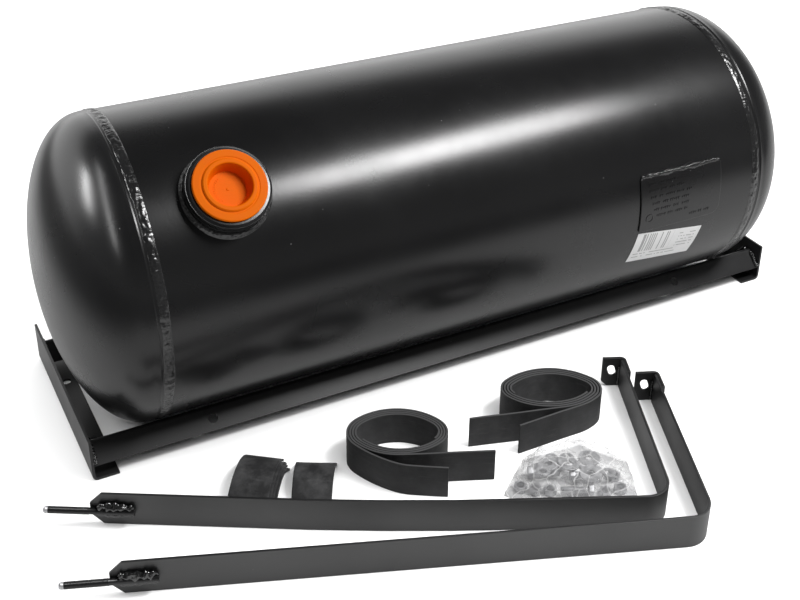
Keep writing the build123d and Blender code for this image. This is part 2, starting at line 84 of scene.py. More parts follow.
def tilt(name, description, degrees):
    return FloatProperty(name=name, description=description, default=radians(degrees),
                         subtype="ANGLE")


def colour(name, description, default):
    return FloatVectorProperty(name=name, description=description, default=default, size=3,
                               min=0.0, max=1.0, subtype="COLOR")


def plain(name, description, default, low, high):
    return FloatProperty(name=name, description=description, default=default, min=low, max=high)


class GasTankSizes(bpy.types.PropertyGroup):
    """Sizes of the tank's own pieces."""
    wall: length("Wall", "Thickness of the shell and the heads", 3.5 * MM)
    crown_gap: length("Crown gap", "How far the left crown stops short of the packed head", 6.5 * MM)
    seam_ridge: length("Seam ridge", "Height of the rolled ridge beside each girth weld", 0.45 * MM)
    girth_width: length("Girth bead width", "Width of the weld round each head", 12 * MM)
    girth_height: length("Girth bead height", "Height of that weld over the shell", 1.85 * MM)
    neck_angle: tilt("Neck angle", "Neck axis above the horizontal", 46)
    neck_height: length("Neck height", "Top of the neck over the shell", 19 * MM)
    neck_bore: length("Neck bore", "Radius of the hole in the neck", 30 * MM)
    neck_weld_leg: length("Neck weld leg", "Reach of the fillet round the neck", 4 * MM)
    plate_drop: length("Plate drop", "How far the plate ends below the packed one's top", 4.5 * MM)
    label_length: length("Label length", "Length of the paper label", 104 * MM)
    label_height: length("Label height", "Height of the paper label", 47 * MM)
    label_tilt: tilt("Label tilt", "Turn of the label on the shell", -8)


class GasTankKitSizes(bpy.types.PropertyGroup):
    thread_pitch: length("Thread pitch", "Distance from thread to thread", 1.25 * MM)
    thread_depth: length("Thread depth", "Height of the threads", 0.45 * MM)
    bare_tip: length("Bare tip", "Unpainted length at the stud's end", 5 * MM)
    corner_bead: length("Corner bead", "Radius of the beads at the cradle's corners", 3.3 * MM)
    upper_bead: length("Upper bead", "Radius of the bead over each stud", 4.5 * MM)
    lower_bead: length("Lower bead", "Radius of the bead under each stud", 2.9 * MM)
    eye_bead: length("Eye bead", "Radius of the bead beside each eye", 2.2 * MM)
    edge_round: length("Edge round", "Rounding of cut and rolled steel edges", 0.45 * MM)
    rubber_round: length("Rubber round", "Rounding of the rubber's edges", 0.5 * MM)
    rubber_wave: length("Rubber wave", "How far the rubber strays from its path", 0.9 * MM)
    crinkle: length("Crinkle", "Depth of the folds in the bag's film", 7 * MM)
    film_facets: IntProperty(name="Film facets", description="Flat facets in the bag's film",
                             default=560, min=50, max=20000)


class GasTankColours(bpy.types.PropertyGroup):
    """Colours of the finishes."""
    tank: colour("Tank paint", "Powder coat on the tank", (0.006, 0.006, 0.0063))
    cradle: colour("Cradle paint", "Powder coat on the cradle", (0.013, 0.013, 0.0135))
    strap: colour("Strap paint", "Coat on the straps", (0.01, 0.01, 0.0106))
    plug: colour("Plug", "Moulded plastic of the transport plug", (0.8, 0.14, 0.0005))
    rubber: colour("Rubber", "Rubber of the strips and pads", (0.03, 0.03, 0.031))
    # pale bloom of the rubber, and also the painted highlight along the rubber's top edge
    dust_and_edge_highlight: colour("Rubber dust", "Pale bloom on the rubber", (0.14, 0.14, 0.142))
    paper: colour("Label", "Paper of the label", (0.82, 0.82, 0.82))
    print: colour("Label print", "Bars and rules on the label", (0.07, 0.07, 0.07))
    zinc: colour("Zinc", "Plating of the fasteners", (0.92, 0.92, 0.94))
    floor: colour("Floor", "Floor round the object", (0.9, 0.9, 0.9))


class GasTankStage(bpy.types.PropertyGroup):
    """Camera and light."""
    lens: plain("Lens", "Focal length in millimetres", 55.53, 1, 500)
    key_power: plain("Key power", "Watts of the long softbox over the kit", 29, 0, 5000)
    lamp_power: plain("Lamp power", "Watts of the narrow lamp behind the left head", 15, 0, 5000)
    strip_power: plain("Strip power", "Watts of the strip over the left head", 9, 0, 5000)
    table_light: plain("Table light", "Strength of the light that only the table receives", 4.5, 0, 50)
    backdrop: plain("Backdrop", "Brightness of the white wall behind the tank", 1.35, 0, 10)


# --------------------------------------------------------------------------------- shader building
def feed(tree, socket, value):
    """Sets an input socket, or links it where the value is a socket itself."""
    if isinstance(value, bpy.types.NodeSocket):
        tree.links.new(value, socket)
    else:
        socket.default_value = value


def attach(tree, target, **inputs):
    """Feeds a node's inputs by name."""
    for name, value in inputs.items():
        feed(tree, target.inputs[name.replace("_", " ")], value)
    return target


def node(tree, kind, settings=None, **inputs):
    """Adds a shader node; an input is named, or numbered as i0, i1 and i2."""
    made = tree.nodes.new("ShaderNode" + kind)
    for name, value in (settings or {}).items():
        setattr(made, name, value)
    for name, value in inputs.items():
        numbered = name[0] == "i" and name[1:].isdigit()
        feed(tree, made.inputs[int(name[1:]) if numbered else name.replace("_", " ")], value)
    return made


def remap(tree, value, low, high, to_low, to_high):
    """Clamped linear change of range."""
    return node(tree, "MapRange", None, Value=value, From_Min=low, From_Max=high,
                To_Min=to_low, To_Max=to_high).outputs["Result"]


def mixed(tree, factor, first, second):
    """Mix of two colours."""
    made = node(tree, "Mix", {"data_type": "RGBA"}, Factor=factor)
    for key, value in ((6, first), (7, second)):
        linked = isinstance(value, bpy.types.NodeSocket)
        feed(tree, made.inputs[key], value if linked else (*value, 1.0))
    return made.outputs[2]


def combine(tree, operation, first, second):
    return node(tree, "Math", {"operation": operation}, i0=first, i1=second).outputs[0]


def new_group(name, inputs, outputs):
    """Empty shader group with named sockets; returns its tree, input node and output node."""
    tree = bpy.data.node_groups.new(name, "ShaderNodeTree")
    for socket, kind, default in inputs:
        made = tree.interface.new_socket(socket, in_out="INPUT", socket_type=kind)
        if default is not None:
            made.default_value = default
    for socket, kind in outputs:
        tree.interface.new_socket(socket, in_out="OUTPUT", socket_type=kind)
    return tree, tree.nodes.new("NodeGroupInput"), tree.nodes.new("NodeGroupOutput")


def paint_skin_group():
    """Orange peel, haze and specks of powder coat."""
    tree, given, out = new_group("Paint skin", [
        ("Vector", "NodeSocketVector", None), ("Peel Scale", "NodeSocketFloat", 260.0),
        ("Peel Depth", "NodeSocketFloat", 0.00008), ("Smooth", "NodeSocketFloat", 0.3),
        ("Dull", "NodeSocketFloat", 0.4), ("Specks", "NodeSocketFloat", 0.5)],
        [("Roughness", "NodeSocketFloat"), ("Specks", "NodeSocketFloat"),
         ("Haze", "NodeSocketFloat"), ("Normal", "NodeSocketVector")])
    where = given.outputs["Vector"]
    peel = node(tree, "TexNoise", None, Vector=where, Scale=given.outputs["Peel Scale"],
                Detail=3.0, Roughness=0.55)
    haze = node(tree, "TexNoise", None, Vector=where, Scale=5.0, Detail=5.0, Roughness=0.6)
    dots = node(tree, "TexVoronoi", None, Vector=where, Scale=70.0, Randomness=1.0)
    dot = remap(tree, dots.outputs["Distance"], 0.02, 0.055, 1.0, 0.0)
    kept = node(tree, "SeparateColor", None, Color=dots.outputs["Color"])
    rare = combine(tree, "GREATER_THAN", kept.outputs[0], 0.9)
    specks = combine(tree, "MULTIPLY", combine(tree, "MULTIPLY", dot, rare), given.outputs["Specks"])
    spread = combine(tree, "SUBTRACT", given.outputs["Dull"], given.outputs["Smooth"])
    clouds = remap(tree, haze.outputs["Fac"], 0.35, 0.65, 0.0, 1.0)
    rough = combine(tree, "ADD", combine(tree, "MULTIPLY", clouds, spread), given.outputs["Smooth"])
    bump = node(tree, "Bump", None, Strength=1.0, Distance=given.outputs["Peel Depth"],
                Height=peel.outputs["Fac"])
    attach(tree, out, Roughness=rough, Specks=specks, Haze=clouds, Normal=bump.outputs["Normal"])


def bloom_group():
    """Pale bloom, scuffs and grain of dusty rubber."""
    tree, given, out = new_group("Rubber bloom", [
        ("Vector", "NodeSocketVector", None), ("Patch Scale", "NodeSocketFloat", 22.0),
        ("Grain Depth", "NodeSocketFloat", 0.0001), ("Amount", "NodeSocketFloat", 0.4)],
        [("Bloom", "NodeSocketFloat"), ("Roughness", "NodeSocketFloat"),
         ("Normal", "NodeSocketVector")])
    where = given.outputs["Vector"]
    patches = node(tree, "TexNoise", None, Vector=where, Scale=given.outputs["Patch Scale"],
                   Detail=7.0, Roughness=0.68)
    stretched = node(tree, "Mapping", None, Vector=where, Scale=(40.0, 40.0, 420.0))
    streaks = node(tree, "TexNoise", None, Vector=stretched.outputs["Vector"], Scale=1.0, Detail=2.0)
    grain = node(tree, "TexNoise", None, Vector=where, Scale=900.0, Detail=3.0, Roughness=0.7)
    cloud = remap(tree, patches.outputs["Fac"], 0.42, 0.7, 0.0, 1.0)
    scuff = remap(tree, streaks.outputs["Fac"], 0.6, 0.78, 0.0, 0.5)
    bloom = combine(tree, "MULTIPLY", combine(tree, "ADD", cloud, scuff), given.outputs["Amount"])
    bump = node(tree, "Bump", None, Strength=1.0, Distance=given.outputs["Grain Depth"],
                Height=grain.outputs["Fac"])
    attach(tree, out, Bloom=bloom, Roughness=remap(tree, cloud, 0.0, 1.0, 0.6, 0.82),
           Normal=bump.outputs["Normal"])


def group_node(tree, group, **inputs):
    """Adds a shared group by its name."""
    made = node(tree, "Group", {"node_tree": bpy.data.node_groups[group]})
    return attach(tree, made, **inputs)


def new_material(name, **constants):
    """Material with a Principled shader whose constants are set on its own sockets."""
    made = bpy.data.materials.new(name)
    made.use_nodes = True
    tree = made.node_tree
    shader = tree.nodes["Principled BSDF"]
    attach(tree, shader, **constants)
    where = tree.nodes.new("ShaderNodeTexCoord")
    return made, tree, shader, where


def paint_material(name, base, smooth, dull, peel_scale, peel_depth, specks, sheen=0.45):
    """Black powder coat: peel, cloudy gloss, dust specks."""
    made, tree, shader, where = new_material(name, Specular_IOR_Level=sheen)
    skin = group_node(tree, "Paint skin", Vector=where.outputs["Object"],
                      Peel_Scale=peel_scale, Peel_Depth=peel_depth, Smooth=smooth, Dull=dull,
                      Specks=specks)
    cloudy = mixed(tree, skin.outputs["Haze"], base, [c * 1.3 for c in base])
    tint = mixed(tree, skin.outputs["Specks"], cloudy, (0.35, 0.35, 0.35))
    attach(tree, shader, Base_Color=tint, Roughness=skin.outputs["Roughness"],
           Normal=skin.outputs["Normal"])
    return made


def rubber_material(name, base, dust_and_edge_highlight, amount, patch_scale):
    """Matt rubber with bloom, and a painted highlight: a paler band along the top edge."""
    made, tree, shader, where = new_material(name, Specular_IOR_Level=0.35)
    spread = group_node(tree, "Rubber bloom", Vector=where.outputs["Object"],
                        Patch_Scale=patch_scale, Grain_Depth=0.00012, Amount=amount)
    height = node(tree, "SeparateXYZ", None, Vector=where.outputs["Object"]).outputs["Z"]
    # paler band along the top edge: painted highlight where the edge catches the light from above
    top_edge_highlight = remap(tree, height, STRAP_WIDTH - 0.9 * MM, STRAP_WIDTH - 0.2 * MM, 0.0, 0.5)
    tint = mixed(tree, combine(tree, "MAXIMUM", spread.outputs["Bloom"], top_edge_highlight), base, dust_and_edge_highlight)
    attach(tree, shader, Base_Color=tint, Roughness=spread.outputs["Roughness"],
           Normal=spread.outputs["Normal"])
    return made


def plastic_material(name, base):
    """Semi-gloss moulded plastic with faint flow marks."""
    made, tree, shader, where = new_material(name, Specular_IOR_Level=0.06)
    flow = node(tree, "TexNoise", None, Vector=where.outputs["Object"], Scale=45.0, Detail=4.0)
    grain = node(tree, "TexNoise", None, Vector=where.outputs["Object"], Scale=1400.0, Detail=2.0)
    tint = mixed(tree, remap(tree, flow.outputs["Fac"], 0.35, 0.7, 0.0, 1.0), base,
                 (base[0], base[1] * 1.1, base[2]))
    bump = node(tree, "Bump", None, Strength=1.0, Distance=0.00002, Height=grain.outputs["Fac"])
    attach(tree, shader, Base_Color=tint, Normal=bump.outputs["Normal"],
           Roughness=remap(tree, flow.outputs["Fac"], 0.3, 0.7, 0.46, 0.58))
    return made


def paper_material(name, paper, ink):
    """Printed paper: a block of upright bars with plain rules under and beside it."""
    made, tree, shader, where = new_material(name, Specular_IOR_Level=0.4)
    split = node(tree, "SeparateXYZ", None, Vector=where.outputs["UV"])
    across, up = split.outputs["X"], split.outputs["Y"]

    def between(value, low, high):
        return combine(tree, "MULTIPLY", combine(tree, "GREATER_THAN", value, low),
                       combine(tree, "LESS_THAN", value, high))

    bars = node(tree, "TexWhiteNoise", {"noise_dimensions": "1D"},
                W=combine(tree, "FLOOR", combine(tree, "MULTIPLY", across, 64.0), 0.0))
    bar = combine(tree, "MULTIPLY", combine(tree, "GREATER_THAN", bars.outputs["Value"], 0.55),
                  combine(tree, "MULTIPLY", between(across, 0.1, 0.58), between(up, 0.36, 0.95)))
    wave = combine(tree, "FRACT", combine(tree, "MULTIPLY", up, 9.0), 0.0)
    dashes = node(tree, "TexWhiteNoise", {"noise_dimensions": "2D"}, Vector=node(
        tree, "CombineXYZ", None,
        X=combine(tree, "FLOOR", combine(tree, "MULTIPLY", across, 46.0), 0.0),
        Y=combine(tree, "FLOOR", combine(tree, "MULTIPLY", up, 9.0), 0.0)).outputs[0])
    ruled = combine(tree, "MULTIPLY", between(wave, 0.35, 0.6),
                    combine(tree, "GREATER_THAN", dashes.outputs["Value"], 0.3))
    under = combine(tree, "MULTIPLY", between(up, 0.08, 0.3), between(across, 0.05, 0.74))
    beside = combine(tree, "MULTIPLY", between(up, 0.3, 0.92), between(across, 0.68, 0.94))
    marks = combine(tree, "MULTIPLY", ruled, combine(tree, "MAXIMUM", under, beside))
    soil = node(tree, "TexNoise", None, Vector=where.outputs["Object"], Scale=60.0, Detail=5.0)
    printed = combine(tree, "MAXIMUM", combine(tree, "MULTIPLY", bar, 0.6),
                      combine(tree, "MULTIPLY", marks, 0.6))
    tint = mixed(tree, printed, paper, ink)
    tint = mixed(tree, remap(tree, soil.outputs["Fac"], 0.5, 0.8, 0.0, 0.2), tint, (0.5, 0.5, 0.5))
    attach(tree, shader, Base_Color=tint,
           Roughness=remap(tree, soil.outputs["Fac"], 0.3, 0.7, 0.35, 0.55))
    return made


def zinc_material(name, base):
    """Bright zinc plate with cloudy spangle and scratches."""
    made, tree, shader, where = new_material(name, Metallic=0.55)
    cloud = node(tree, "TexNoise", None, Vector=where.outputs["Object"], Scale=160.0, Detail=6.0)
    fine = node(tree, "TexNoise", None, Vector=where.outputs["Object"], Scale=1500.0, Detail=2.0)
    tint = mixed(tree, remap(tree, cloud.outputs["Fac"], 0.35, 0.7, 0.0, 1.0),
                 [c * 0.62 for c in base], base)
    bump = node(tree, "Bump", None, Strength=1.0, Distance=0.00003, Height=fine.outputs["Fac"])
    attach(tree, shader, Base_Color=tint, Normal=bump.outputs["Normal"],
           Roughness=remap(tree, cloud.outputs["Fac"], 0.3, 0.7, 0.24, 0.48))
    return made


def film_material(name):
    """Clear film with a painted highlight: white lines along its folds, nearly invisible between them.
    """
    made, tree, shader, where = new_material(name, Specular_IOR_Level=0.8, Roughness=0.08)
    bent = node(tree, "TexNoise", None, Vector=where.outputs["Object"], Scale=45.0, Detail=1.0)
    shifted = node(tree, "VectorMath", {"operation": "MULTIPLY_ADD"}, i0=bent.outputs["Color"],
                   i1=(0.015, 0.015, 0.015), i2=where.outputs["Object"])
    folds = node(tree, "TexVoronoi", {"feature": "DISTANCE_TO_EDGE"},
                 Vector=shifted.outputs["Vector"], Scale=40.0)
    # white lines along the folds: painted highlight, more opaque than the film between them
    line = remap(tree, folds.outputs["Distance"], 0.0, 0.055, 1.0, 0.0)
    sheen = remap(tree, bent.outputs["Fac"], 0.38, 0.62, 0.2, 0.42)
    veil = combine(tree, "MAXIMUM", combine(tree, "MULTIPLY", line, 0.7), sheen)
    tint = mixed(tree, line, (0.58, 0.58, 0.59), (1.0, 1.0, 1.0))
    attach(tree, shader, Base_Color=tint, Alpha=veil)
    return made


# ------------------------------------------------------------------------------ geometry helpers
def put(name, data):
    """Adds an object to the scene."""
    obj = bpy.data.objects.new(name, data)
    bpy.context.scene.collection.objects.link(obj)
    return obj


def piece(name, bm, body, materials, stands_for, sharp=None, even=False):
    """Makes one finished piece of a bmesh, with its place in its mesh and nothing under the floor."""
    mesh = bpy.data.meshes.new(name)
    bm.to_mesh(mesh)
    bm.free()
    for vert in mesh.vertices:
        vert.co.z = max(vert.co.z, 0.0)
    for polygon in mesh.polygons:
        polygon.use_smooth = True
    if sharp is not None:
        mesh.set_sharp_from_angle(angle=radians(sharp))
    for material in materials:
        mesh.materials.append(bpy.data.materials[material])
    obj = put(name, mesh)
    if even:
        normals = obj.modifiers.new("Even normals", "WEIGHTED_NORMAL")
        normals.keep_sharp = True
    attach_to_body(obj, body)
    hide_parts(*stands_for)
    return obj


def face_outward(bm):
    """Turns the faces of a closed mesh outward, and checks it by the sign of the volume."""
    bmesh.ops.recalc_face_normals(bm, faces=bm.faces)
    if bm.calc_volume(signed=True) < 0:
        bmesh.ops.reverse_faces(bm, faces=bm.faces)


def turned(profile, steps, closed=True):
    """Body of revolution round Z from (radius, height) points."""
    bm = bmesh.new()
    points = [bm.verts.new((radius, 0.0, height)) for radius, height in profile]
    pairs = list(zip(points, points[1:]))
    if closed:
        pairs.append((points[-1], points[0]))
    edges = [bm.edges.new(pair) for pair in pairs]
    bmesh.ops.spin(bm, geom=points + edges, cent=(0, 0, 0), axis=(0, 0, 1), angle=tau,
                   steps=steps, use_merge=True)
    bmesh.ops.remove_doubles(bm, verts=bm.verts, dist=NO_GAP)
    face_outward(bm)
    return bm


def soften(bm, width, segments=2, angle=30):
    """Rounds every edge sharper than the angle."""
    sharp = [e for e in bm.edges if len(e.link_faces) == 2
             and e.calc_face_angle(0.0) > radians(angle)]
    bmesh.ops.bevel(bm, geom=sharp, offset=width, offset_type="OFFSET", affect="EDGES",
                    segments=segments, profile=0.5, material=-1, clamp_overlap=True)


def cad_copy(name):
    """Merged copy of a CAD node with its flat faces joined up."""
    bm = bmesh.new()
    bm.from_mesh(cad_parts[name].data)
    bmesh.ops.remove_doubles(bm, verts=bm.verts, dist=NO_GAP)
    bmesh.ops.dissolve_limit(bm, angle_limit=radians(1.0), verts=bm.verts, edges=bm.edges)
    return bm


def islands(name):
    """Vertices of each separate solid of a CAD node."""
    bm = bmesh.new()
    bm.from_mesh(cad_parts[name].data)
    bmesh.ops.remove_doubles(bm, verts=bm.verts, dist=NO_GAP)
    left, found = set(bm.verts), []
    while left:
        stack, island = [min(left, key=lambda v: v.index)], []
        left.discard(stack[0])
        while stack:
            vert = stack.pop()
            island.append(vert.co[:])
            for edge in vert.link_edges:
                other = edge.other_vert(vert)
                if other in left:
                    left.discard(other)
                    stack.append(other)
        found.append(np.array(island))
    bm.free()
    return found


def long_axis(points):
    """Both ends of a long solid's middle line, and its largest radius near each end."""
    middle = (points.min(0) + points.max(0)) / 2
    _, _, axes = np.linalg.svd(points - points.mean(0), full_matrices=False)
    way = axes[0]
    along = (points - middle) @ way
    middle = middle + way * (along.min() + along.max()) / 2
    half = (along.max() - along.min()) / 2
    away = np.linalg.norm((points - middle) - np.outer((points - middle) @ way, way), axis=1)
    along = (points - middle) @ way
    thick = [away[along * side > half * 0.8].max() for side in (-1, 1)]
    return [Vector(middle - way * half), Vector(middle + way * half)], thick


def aim(start, end):
    """Matrix that puts +Z on the line from start to end."""
    turn = Vector((0, 0, 1)).rotation_difference(end - start)
    return Matrix.Translation(start) @ turn.to_matrix().to_4x4()


def bead(start, end, radius, seed, lump=0.3, pitch=3.2 * MM, flat=0.85):
    """Closed lumpy weld bead with ripples, from start to end."""
    span = (end - start).length
    rings = max(8, int(span / (0.5 * MM)))
    profile = []
    for k in range(rings + 1):
        t = k / rings
        cap = sqrt(max(0.0, 1 - abs(2 * t - 1) ** 8))
        profile.append((radius * cap, t * span))
    bm = turned(profile, 28, closed=False)
    for vert in bm.verts:
        x, y, z = vert.co
        around = atan2(y, x)
        ripple = sin(tau * z / pitch + 1.6 * cos(around) + 2.0 * noise.noise(Vector((z * 90, seed, 0))))
        blob = noise.noise(Vector((x * 190, y * 190, z * 110 + seed * 7.3)))
        coarse = noise.noise(Vector((seed * 3.1, z * 70, 0.3)))
        grow = 1 + lump * (0.35 * ripple + 0.8 * blob + 0.7 * coarse)
        vert.co.x *= grow
        vert.co.y *= grow * flat
    bm.transform(aim(start, end))
    return bm


def joined(parts):
    """One bmesh of several."""
    whole = bmesh.new()
    for part in parts:
        scrap = bpy.data.meshes.new("scrap")
        part.to_mesh(scrap)
        part.free()
        whole.from_mesh(scrap)
        bpy.data.meshes.remove(scrap)
    return whole


def bake(obj):
    """Applies the piece's modifiers."""
    bpy.context.view_layer.update()
    shaped = obj.evaluated_get(bpy.context.evaluated_depsgraph_get())
    old, obj.data = obj.data, bpy.data.meshes.new_from_object(shaped)
    obj.modifiers.clear()
    bpy.data.meshes.remove(old)


def cut_away(obj, cutter):
    """Boolean cut, applied, with its edges kept sharp."""
    mesh = bpy.data.meshes.new("cutter")
    cutter.to_mesh(mesh)
    cutter.free()
    tool = put("cutter", mesh)
    cut = obj.modifiers.new("Cut", "BOOLEAN")
    cut.operation = "DIFFERENCE"
    cut.solver = "EXACT"
    cut.object = tool
    bake(obj)
    obj.data.set_sharp_from_angle(angle=radians(40))
    bpy.data.objects.remove(tool)
    bpy.data.meshes.remove(mesh)


def put_in_order(obj):
    """Rebuilds a mesh so that the order of its corners and faces depends on its shape alone."""
    mesh = obj.data
    spots = [tuple(vert.co) for vert in mesh.vertices]
    rank = {old: new for new, old in enumerate(sorted(range(len(spots)), key=spots.__getitem__))}
    faces = []
    for polygon in mesh.polygons:
        ring = [rank[k] for k in polygon.vertices]
        first = ring.index(min(ring))
        faces.append(ring[first:] + ring[:first])
    fresh = bpy.data.meshes.new(mesh.name)
    fresh.from_pydata(sorted(spots), [], sorted(faces))
    for material in mesh.materials:
        fresh.materials.append(material)
    obj.data = fresh
    bpy.data.meshes.remove(mesh)


def on_tank(bm):
    """Wraps (x, distance round the shell, height over it) onto the tank."""
    for vert in bm.verts:
        x, round_shell, height = vert.co
        angle = round_shell / TANK_RADIUS
        reach = TANK_RADIUS + height
        vert.co = (x, -reach * cos(angle), AXIS_HEIGHT + reach * sin(angle))


def sliced(bm, normal, step):
    """Adds edges along evenly spaced planes, so that the mesh can bend."""
    normal = Vector(normal)
    reach = [v.co.dot(normal) for v in bm.verts]
    at = min(reach) + step
    while at < max(reach):
        geom = bm.verts[:] + bm.edges[:] + bm.faces[:]
        bmesh.ops.bisect_plane(bm, geom=geom, plane_co=normal * at, plane_no=normal, dist=NO_GAP)
        at += step


def along_x(side):
    """Matrix from a body turned round Z to one on the tank's axis, opening towards the side."""
    turn = Matrix.Rotation(side * pi / 2, 4, "Y")
    return Matrix.Translation((side * SEAM, 0, AXIS_HEIGHT)) @ turn


def neck_place(sizes):
    """Matrix from a body turned round Z to one on the neck's axis."""
    turn = Matrix.Rotation(pi / 2 - sizes.neck_angle, 4, "X")
    return Matrix.Translation((NECK_X, 0, AXIS_HEIGHT)) @ turn


def rounded(name, ending, body, material, width):
    """CAD piece with its cut edges rounded."""
    bm = cad_copy(name)
    soften(bm, width)
    piece(name + ending, bm, body, [material], (name,), sharp=40, even=True)


# ------------------------------------------------------------------------------------- operators
class Maker(bpy.types.Operator):
    """Shared part of the operators."""
    bl_options = {"REGISTER", "UNDO"}

    def execute(self, context):
        scene = context.scene
        noise.seed_set(NOISE_SEED)
        self.make(scene.gas_tank, scene.gas_tank_kit, scene.gas_tank_colours)
        return {"FINISHED"}


class GASTANK_OT_finishes(Maker):
    """Makes every material"""
    bl_idname = "gastank.finishes"
    bl_label = "Finishes"

    def make(self, sizes, kit, colours):
        paint_skin_group()
        bloom_group()
        tank, cradle, strap = colours.tank[:], colours.cradle[:], colours.strap[:]
        paint_material("tank powder coat", tank, 0.23, 0.3, 420.0, 0.000035, 0.6)
        paint_material("painted weld", tank, 0.09, 0.2, 330.0, 0.0006, 0.0, sheen=1.0)
        paint_material("painted ring", tank, 0.2, 0.3, 420.0, 0.00006, 0.0)
        paint_material("painted girth weld", tank, 0.16, 0.3, 300.0, 0.0004, 0.0, sheen=0.8)
        paint_material("cradle powder coat", cradle, 0.3, 0.42, 380.0, 0.00005, 0.25)
        paint_material("strap coat", strap, 0.38, 0.55, 300.0, 0.00006, 0.15, sheen=1.0)
        paint_material("painted thread", cradle, 0.22, 0.34, 900.0, 0.00006, 0.0)
        rubber_material("strip rubber", colours.rubber[:], colours.dust_and_edge_highlight[:], 0.42, 24.0)
        rubber_material("pad rubber", colours.rubber[:], colours.dust_and_edge_highlight[:], 0.7, 34.0)
        plastic_material("orange plastic", colours.plug[:])
        paper_material("printed paper", colours.paper[:], colours.print[:])
        zinc_material("zinc plate", colours.zinc[:])
        film_material("clear film")


class GASTANK_OT_vessel(Maker):
    """Makes the rolled shell and its two dished heads"""
    bl_idname = "gastank.vessel"
    bl_label = "Shell and Heads"

    def make(self, sizes, kit, colours):
        wall, end_row, close_rows, hole_gap = sizes.wall, 12 * MM, 5 * MM, 0.1 * MM
        near_neck = [NECK_X + k * close_rows for k in range(-12, 13)]
        stations = [-SEAM, -SEAM + end_row, *near_neck, -0.15, 0.0, 0.15, 0.3, SEAM]
        outer = [(TANK_RADIUS, x) for x in stations]
        inner = [(TANK_RADIUS - wall, x) for x in reversed(stations)]
        bm = turned(outer + inner, ROUND_STEPS)
        bm.transform(Matrix.Translation((0, 0, AXIS_HEIGHT)) @ Matrix.Rotation(pi / 2, 4, "Y"))
        shell = piece("shell", bm, "tank", ["tank powder coat"], ("tank_shell",))
        hole = bmesh.new()
        bmesh.ops.create_cone(hole, cap_ends=True, segments=96, radius1=NECK_RADIUS + hole_gap,
                              radius2=NECK_RADIUS + hole_gap, depth=TANK_RADIUS / 2,
                              matrix=neck_place(sizes) @ Matrix.Translation((0, 0, TANK_RADIUS)))
        cut_away(shell, hole)
        ridge_from, ridge_to, rows = 7.5 * MM, 11 * MM, 46
        for name, side in (("head_left", -1), ("head_right", 1)):
            crown = HEAD_LENGTH - SKIRT - (sizes.crown_gap if side < 0 else 0)
            profile = [(TANK_RADIUS, 0.0), (TANK_RADIUS, ridge_from)]
            profile += [(TANK_RADIUS + sizes.seam_ridge * sin(pi * k / 6), ridge_to - (6 - k) * 0.5 * MM)
                        for k in range(7)]
            for inset, steps in ((0.0, range(2, rows + 1)), (wall, range(rows, -1, -2))):
                for k in steps:
                    turn = pi / 2 * k / rows
                    profile.append(((TANK_RADIUS - inset) * cos(turn) if k < rows else 0.0,
                                    SKIRT + (crown - inset) * sin(turn)))
            profile.append((TANK_RADIUS - wall, 0.0))
            bm = turned(profile, ROUND_STEPS)
            bm.transform(along_x(side))
            piece(name + "_dished", bm, "tank", ["tank powder coat"], (name,),
                  sharp=50)


class GASTANK_OT_girth_welds(Maker):
    """Makes the weld beads round the heads and along the shell"""
    bl_idname = "gastank.girth_welds"
    bl_label = "Shell Welds"

    def make(self, sizes, kit, colours):
        half, across, sink, ripple_pitch = sizes.girth_width / 2, 12, 1.5 * MM, 3.6 * MM
        for number, (name, side) in enumerate((("girth_weld_left", -1), ("girth_weld_right", 1))):
            profile = [(TANK_RADIUS, half * (2 * k / across - 1)) for k in range(across + 1)]
            profile += [(TANK_RADIUS - sink, half), (TANK_RADIUS - sink, -half)]
            bm = turned(profile, 720)
            for vert in bm.verts:
                if sqrt(vert.co.x ** 2 + vert.co.y ** 2) < TANK_RADIUS - sink / 2:
                    continue
                angle = atan2(vert.co.y, vert.co.x)
                way = Vector((cos(angle), sin(angle), 0))
                spot = way * TANK_RADIUS
                across_share = vert.co.z / half
                wander = noise.noise(spot * 45 + Vector((0, 0, number * 5.0)))
                wander += 0.5 * noise.noise(spot * 160 + Vector((0, 0, number * 9.0)))
                arc = angle * TANK_RADIUS
                ripple = sin(tau * arc / ripple_pitch + 2.4 * across_share ** 2 + 5 * wander)
                lump = noise.noise(Vector((spot.x * 150, spot.y * 150, vert.co.z * 260 + number)))
                crown = max(0.0, 1 - across_share ** 2) ** 0.7
                share = 0.55 + 0.55 * lump + 0.2 * ripple + 0.35 * wander
                height = sizes.girth_height * crown * min(1.0, max(0.08, share)) - 0.15 * MM
                vert.co = way * (TANK_RADIUS + height)
                vert.co.z = half * across_share * (1 + 0.14 * wander) + 0.8 * MM * wander
            bm.transform(along_x(side))
            piece(name + "_bead", bm, "tank", ["painted girth weld"], (name,))
        low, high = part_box("seam_weld")
        middle = (low + high) / 2
        angle = atan2(middle.z - AXIS_HEIGHT, -middle.y)
        radius, sunk = 3.4 * MM, 2.6 * MM
        reach = TANK_RADIUS - sunk
        spot = Vector((0, -reach * cos(angle), AXIS_HEIGHT + reach * sin(angle)))
        seam = bead(spot + Vector((low.x, 0, 0)), spot + Vector((high.x, 0, 0)), radius, 3.0,
                    lump=0.1)
        piece("shell_seam_bead", seam, "tank", ["painted weld"], ("seam_weld",))


